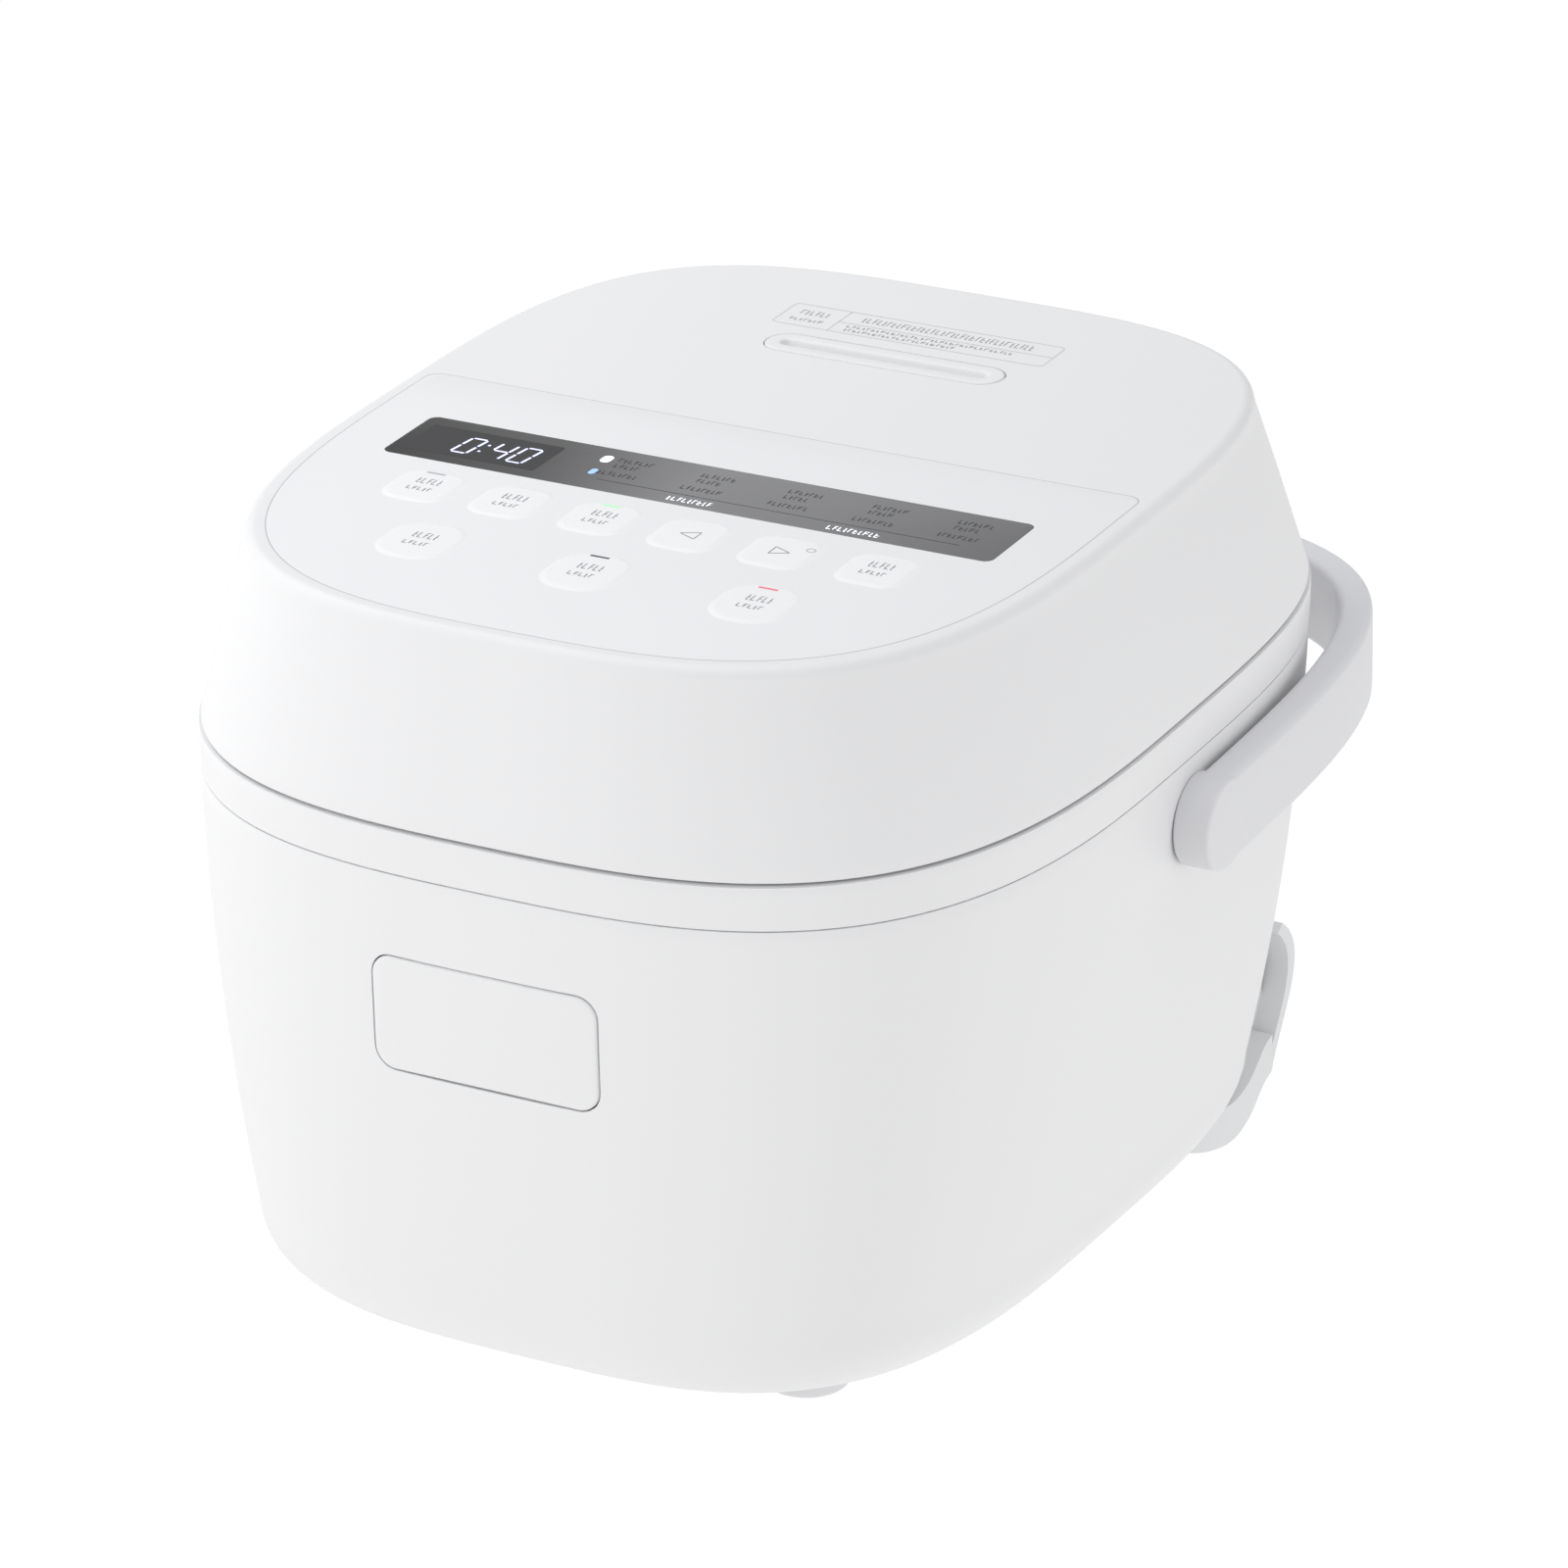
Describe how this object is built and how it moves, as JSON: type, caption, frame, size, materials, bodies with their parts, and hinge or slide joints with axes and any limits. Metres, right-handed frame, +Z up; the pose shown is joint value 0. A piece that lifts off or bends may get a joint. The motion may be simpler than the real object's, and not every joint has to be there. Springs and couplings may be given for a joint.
{
  "type": "rice cooker",
  "caption": "White table-top rice cooker: rounded body with rear-hinged lid, sloping key panel with display, slotted steam cap, front release pad and folding carry handle.",
  "frame": {"origin": "on the standing surface, under the centre of the whole object with its handle folded back", "axes": "+Z up, the front with the release pad faces -Y, +X to the right seen from the front"},
  "size_m": [0.2588, 0.3003, 0.2106],
  "materials": {
    "gloss_white": "satin",
    "panel_white": "glossy",
    "vent_white": "satin",
    "guard_grey": "matt",
    "dark_window": "glossy",
    "foot_rubber": "matt",
    "gasket_rubber": "satin",
    "grey_plastic": "matt",
    "black_plastic": "matt",
    "steel": "zinc plated",
    "contact_brass": "plain",
    "pot_metal": "non-stick coated",
    "inner_lid_aluminium": "satin",
    "copper": "enamelled wire",
    "ferrite": "sintered",
    "circuit_board": "solder mask"
  },
  "bodies": {
    "housing": {"body_shell": "gloss_white", "collar_frame": "gloss_white", "bottom_cover": "grey_plastic", "rear_guard": "guard_grey", "rubber_feet": "foot_rubber", "inlet_socket": "black_plastic", "inlet_pins": "contact_brass", "handle_pins": "steel", "handle_washers": "steel", "lever_bracket": "steel", "lever_pin": "steel", "hinge_shaft": "steel", "hinge_spring": "steel", "inner_pot": "pot_metal", "inner_well": "black_plastic", "coil_tray": "black_plastic", "induction_coil": "copper", "ferrite_bars": "ferrite", "sensor_guide": "black_plastic", "sensor_spring": "steel", "fan_housing": "black_plastic", "power_board": "circuit_board", "heat_sink": "inner_lid_aluminium", "body_screws": "steel"},
    "lid": {"lid_shell": "gloss_white", "control_panel": "panel_white", "display_window": "dark_window", "display_module": "black_plastic", "control_board": "circuit_board", "key_switches": "grey_plastic", "steam_valve": "grey_plastic", "lid_frame": "grey_plastic", "inner_lid": "inner_lid_aluminium", "inner_lid_knob": "grey_plastic", "lid_gasket": "gasket_rubber", "lid_catch": "steel", "lid_heater": "steel", "lid_screws": "steel"},
    "handle": {"handle_bail": "gloss_white"},
    "latch_button": {"latch_button": "gloss_white"},
    "latch_lever": {"latch_lever": "steel"},
    "pot_sensor": {"sensor_cap": "inner_lid_aluminium"},
    "fan": {"fan_rotor": "grey_plastic"},
    "vent_cap": {"vent_cap": "vent_white"},
    "key_keep_warm": {"key_keep_warm": "panel_white"},
    "key_taste": {"key_taste": "panel_white"},
    "key_timer": {"key_timer": "panel_white"},
    "key_down": {"key_down": "panel_white"},
    "key_up": {"key_up": "panel_white"},
    "key_menu": {"key_menu": "panel_white"},
    "key_off": {"key_off": "panel_white"},
    "key_quick_cook": {"key_quick_cook": "panel_white"},
    "key_start": {"key_start": "panel_white"}
  },
  "joints": [
    {"name": "lid_hinge", "type": "hinge", "parent": "housing", "child": "lid", "pos_m": [0, 0.1215, 0.1575], "axis": [-1, 0, 0], "range_deg": [0, 95]},
    {"name": "handle_hinge", "type": "hinge", "parent": "housing", "child": "handle", "pos_m": [0, -0.004, 0.1265], "axis": [1, 0, 0], "range_deg": [0, 86.5]},
    {"name": "latch_press", "type": "slide", "parent": "housing", "child": "latch_button", "axis": [0, 1, 0], "range_m": [0, 0.0025], "stiffness_N_per_m": 900, "springref_m": -0.002},
    {"name": "latch_lever_turn", "type": "hinge", "parent": "housing", "child": "latch_lever", "pos_m": [0, -0.124, 0.084], "axis": [-1, 0, 0], "range_deg": [0, 6.2]},
    {"name": "pot_sensor_travel", "type": "slide", "parent": "housing", "child": "pot_sensor", "axis": [0, 0, -1], "range_m": [0, 0.003], "stiffness_N_per_m": 300, "springref_m": -0.002, "deforming": ["sensor_spring"]},
    {"name": "fan_spin", "type": "hinge", "parent": "housing", "child": "fan", "pos_m": [-0.048, 0.054, 0.012], "axis": [0, 0, 1], "continuous": true},
    {"name": "vent_cap_lift", "type": "slide", "parent": "lid", "child": "vent_cap", "axis": [0, -0.046, 0.9989], "range_m": [0, 0.03]},
    {"name": "key_keep_warm_press", "type": "slide", "parent": "lid", "child": "key_keep_warm", "axis": [0, 0.046, -0.9989], "range_m": [0, 0.0005], "stiffness_N_per_m": 1500, "springref_m": -0.0004},
    {"name": "key_taste_press", "type": "slide", "parent": "lid", "child": "key_taste", "axis": [0, 0.046, -0.9989], "range_m": [0, 0.0005], "stiffness_N_per_m": 1500, "springref_m": -0.0004},
    {"name": "key_timer_press", "type": "slide", "parent": "lid", "child": "key_timer", "axis": [0, 0.046, -0.9989], "range_m": [0, 0.0005], "stiffness_N_per_m": 1500, "springref_m": -0.0004},
    {"name": "key_down_press", "type": "slide", "parent": "lid", "child": "key_down", "axis": [0, 0.046, -0.9989], "range_m": [0, 0.0005], "stiffness_N_per_m": 1500, "springref_m": -0.0004},
    {"name": "key_up_press", "type": "slide", "parent": "lid", "child": "key_up", "axis": [0, 0.046, -0.9989], "range_m": [0, 0.0005], "stiffness_N_per_m": 1500, "springref_m": -0.0004},
    {"name": "key_menu_press", "type": "slide", "parent": "lid", "child": "key_menu", "axis": [0, 0.046, -0.9989], "range_m": [0, 0.0005], "stiffness_N_per_m": 1500, "springref_m": -0.0004},
    {"name": "key_off_press", "type": "slide", "parent": "lid", "child": "key_off", "axis": [0, 0.046, -0.9989], "range_m": [0, 0.0005], "stiffness_N_per_m": 1500, "springref_m": -0.0004},
    {"name": "key_quick_cook_press", "type": "slide", "parent": "lid", "child": "key_quick_cook", "axis": [0, 0.046, -0.9989], "range_m": [0, 0.0005], "stiffness_N_per_m": 1500, "springref_m": -0.0004},
    {"name": "key_start_press", "type": "slide", "parent": "lid", "child": "key_start", "axis": [0, 0.046, -0.9989], "range_m": [0, 0.0005], "stiffness_N_per_m": 1500, "springref_m": -0.0004}
  ],
  "couplings": [
    {"joint": "latch_lever_turn", "follows": "latch_press", "rad_per_m": 41.9}
  ]
}
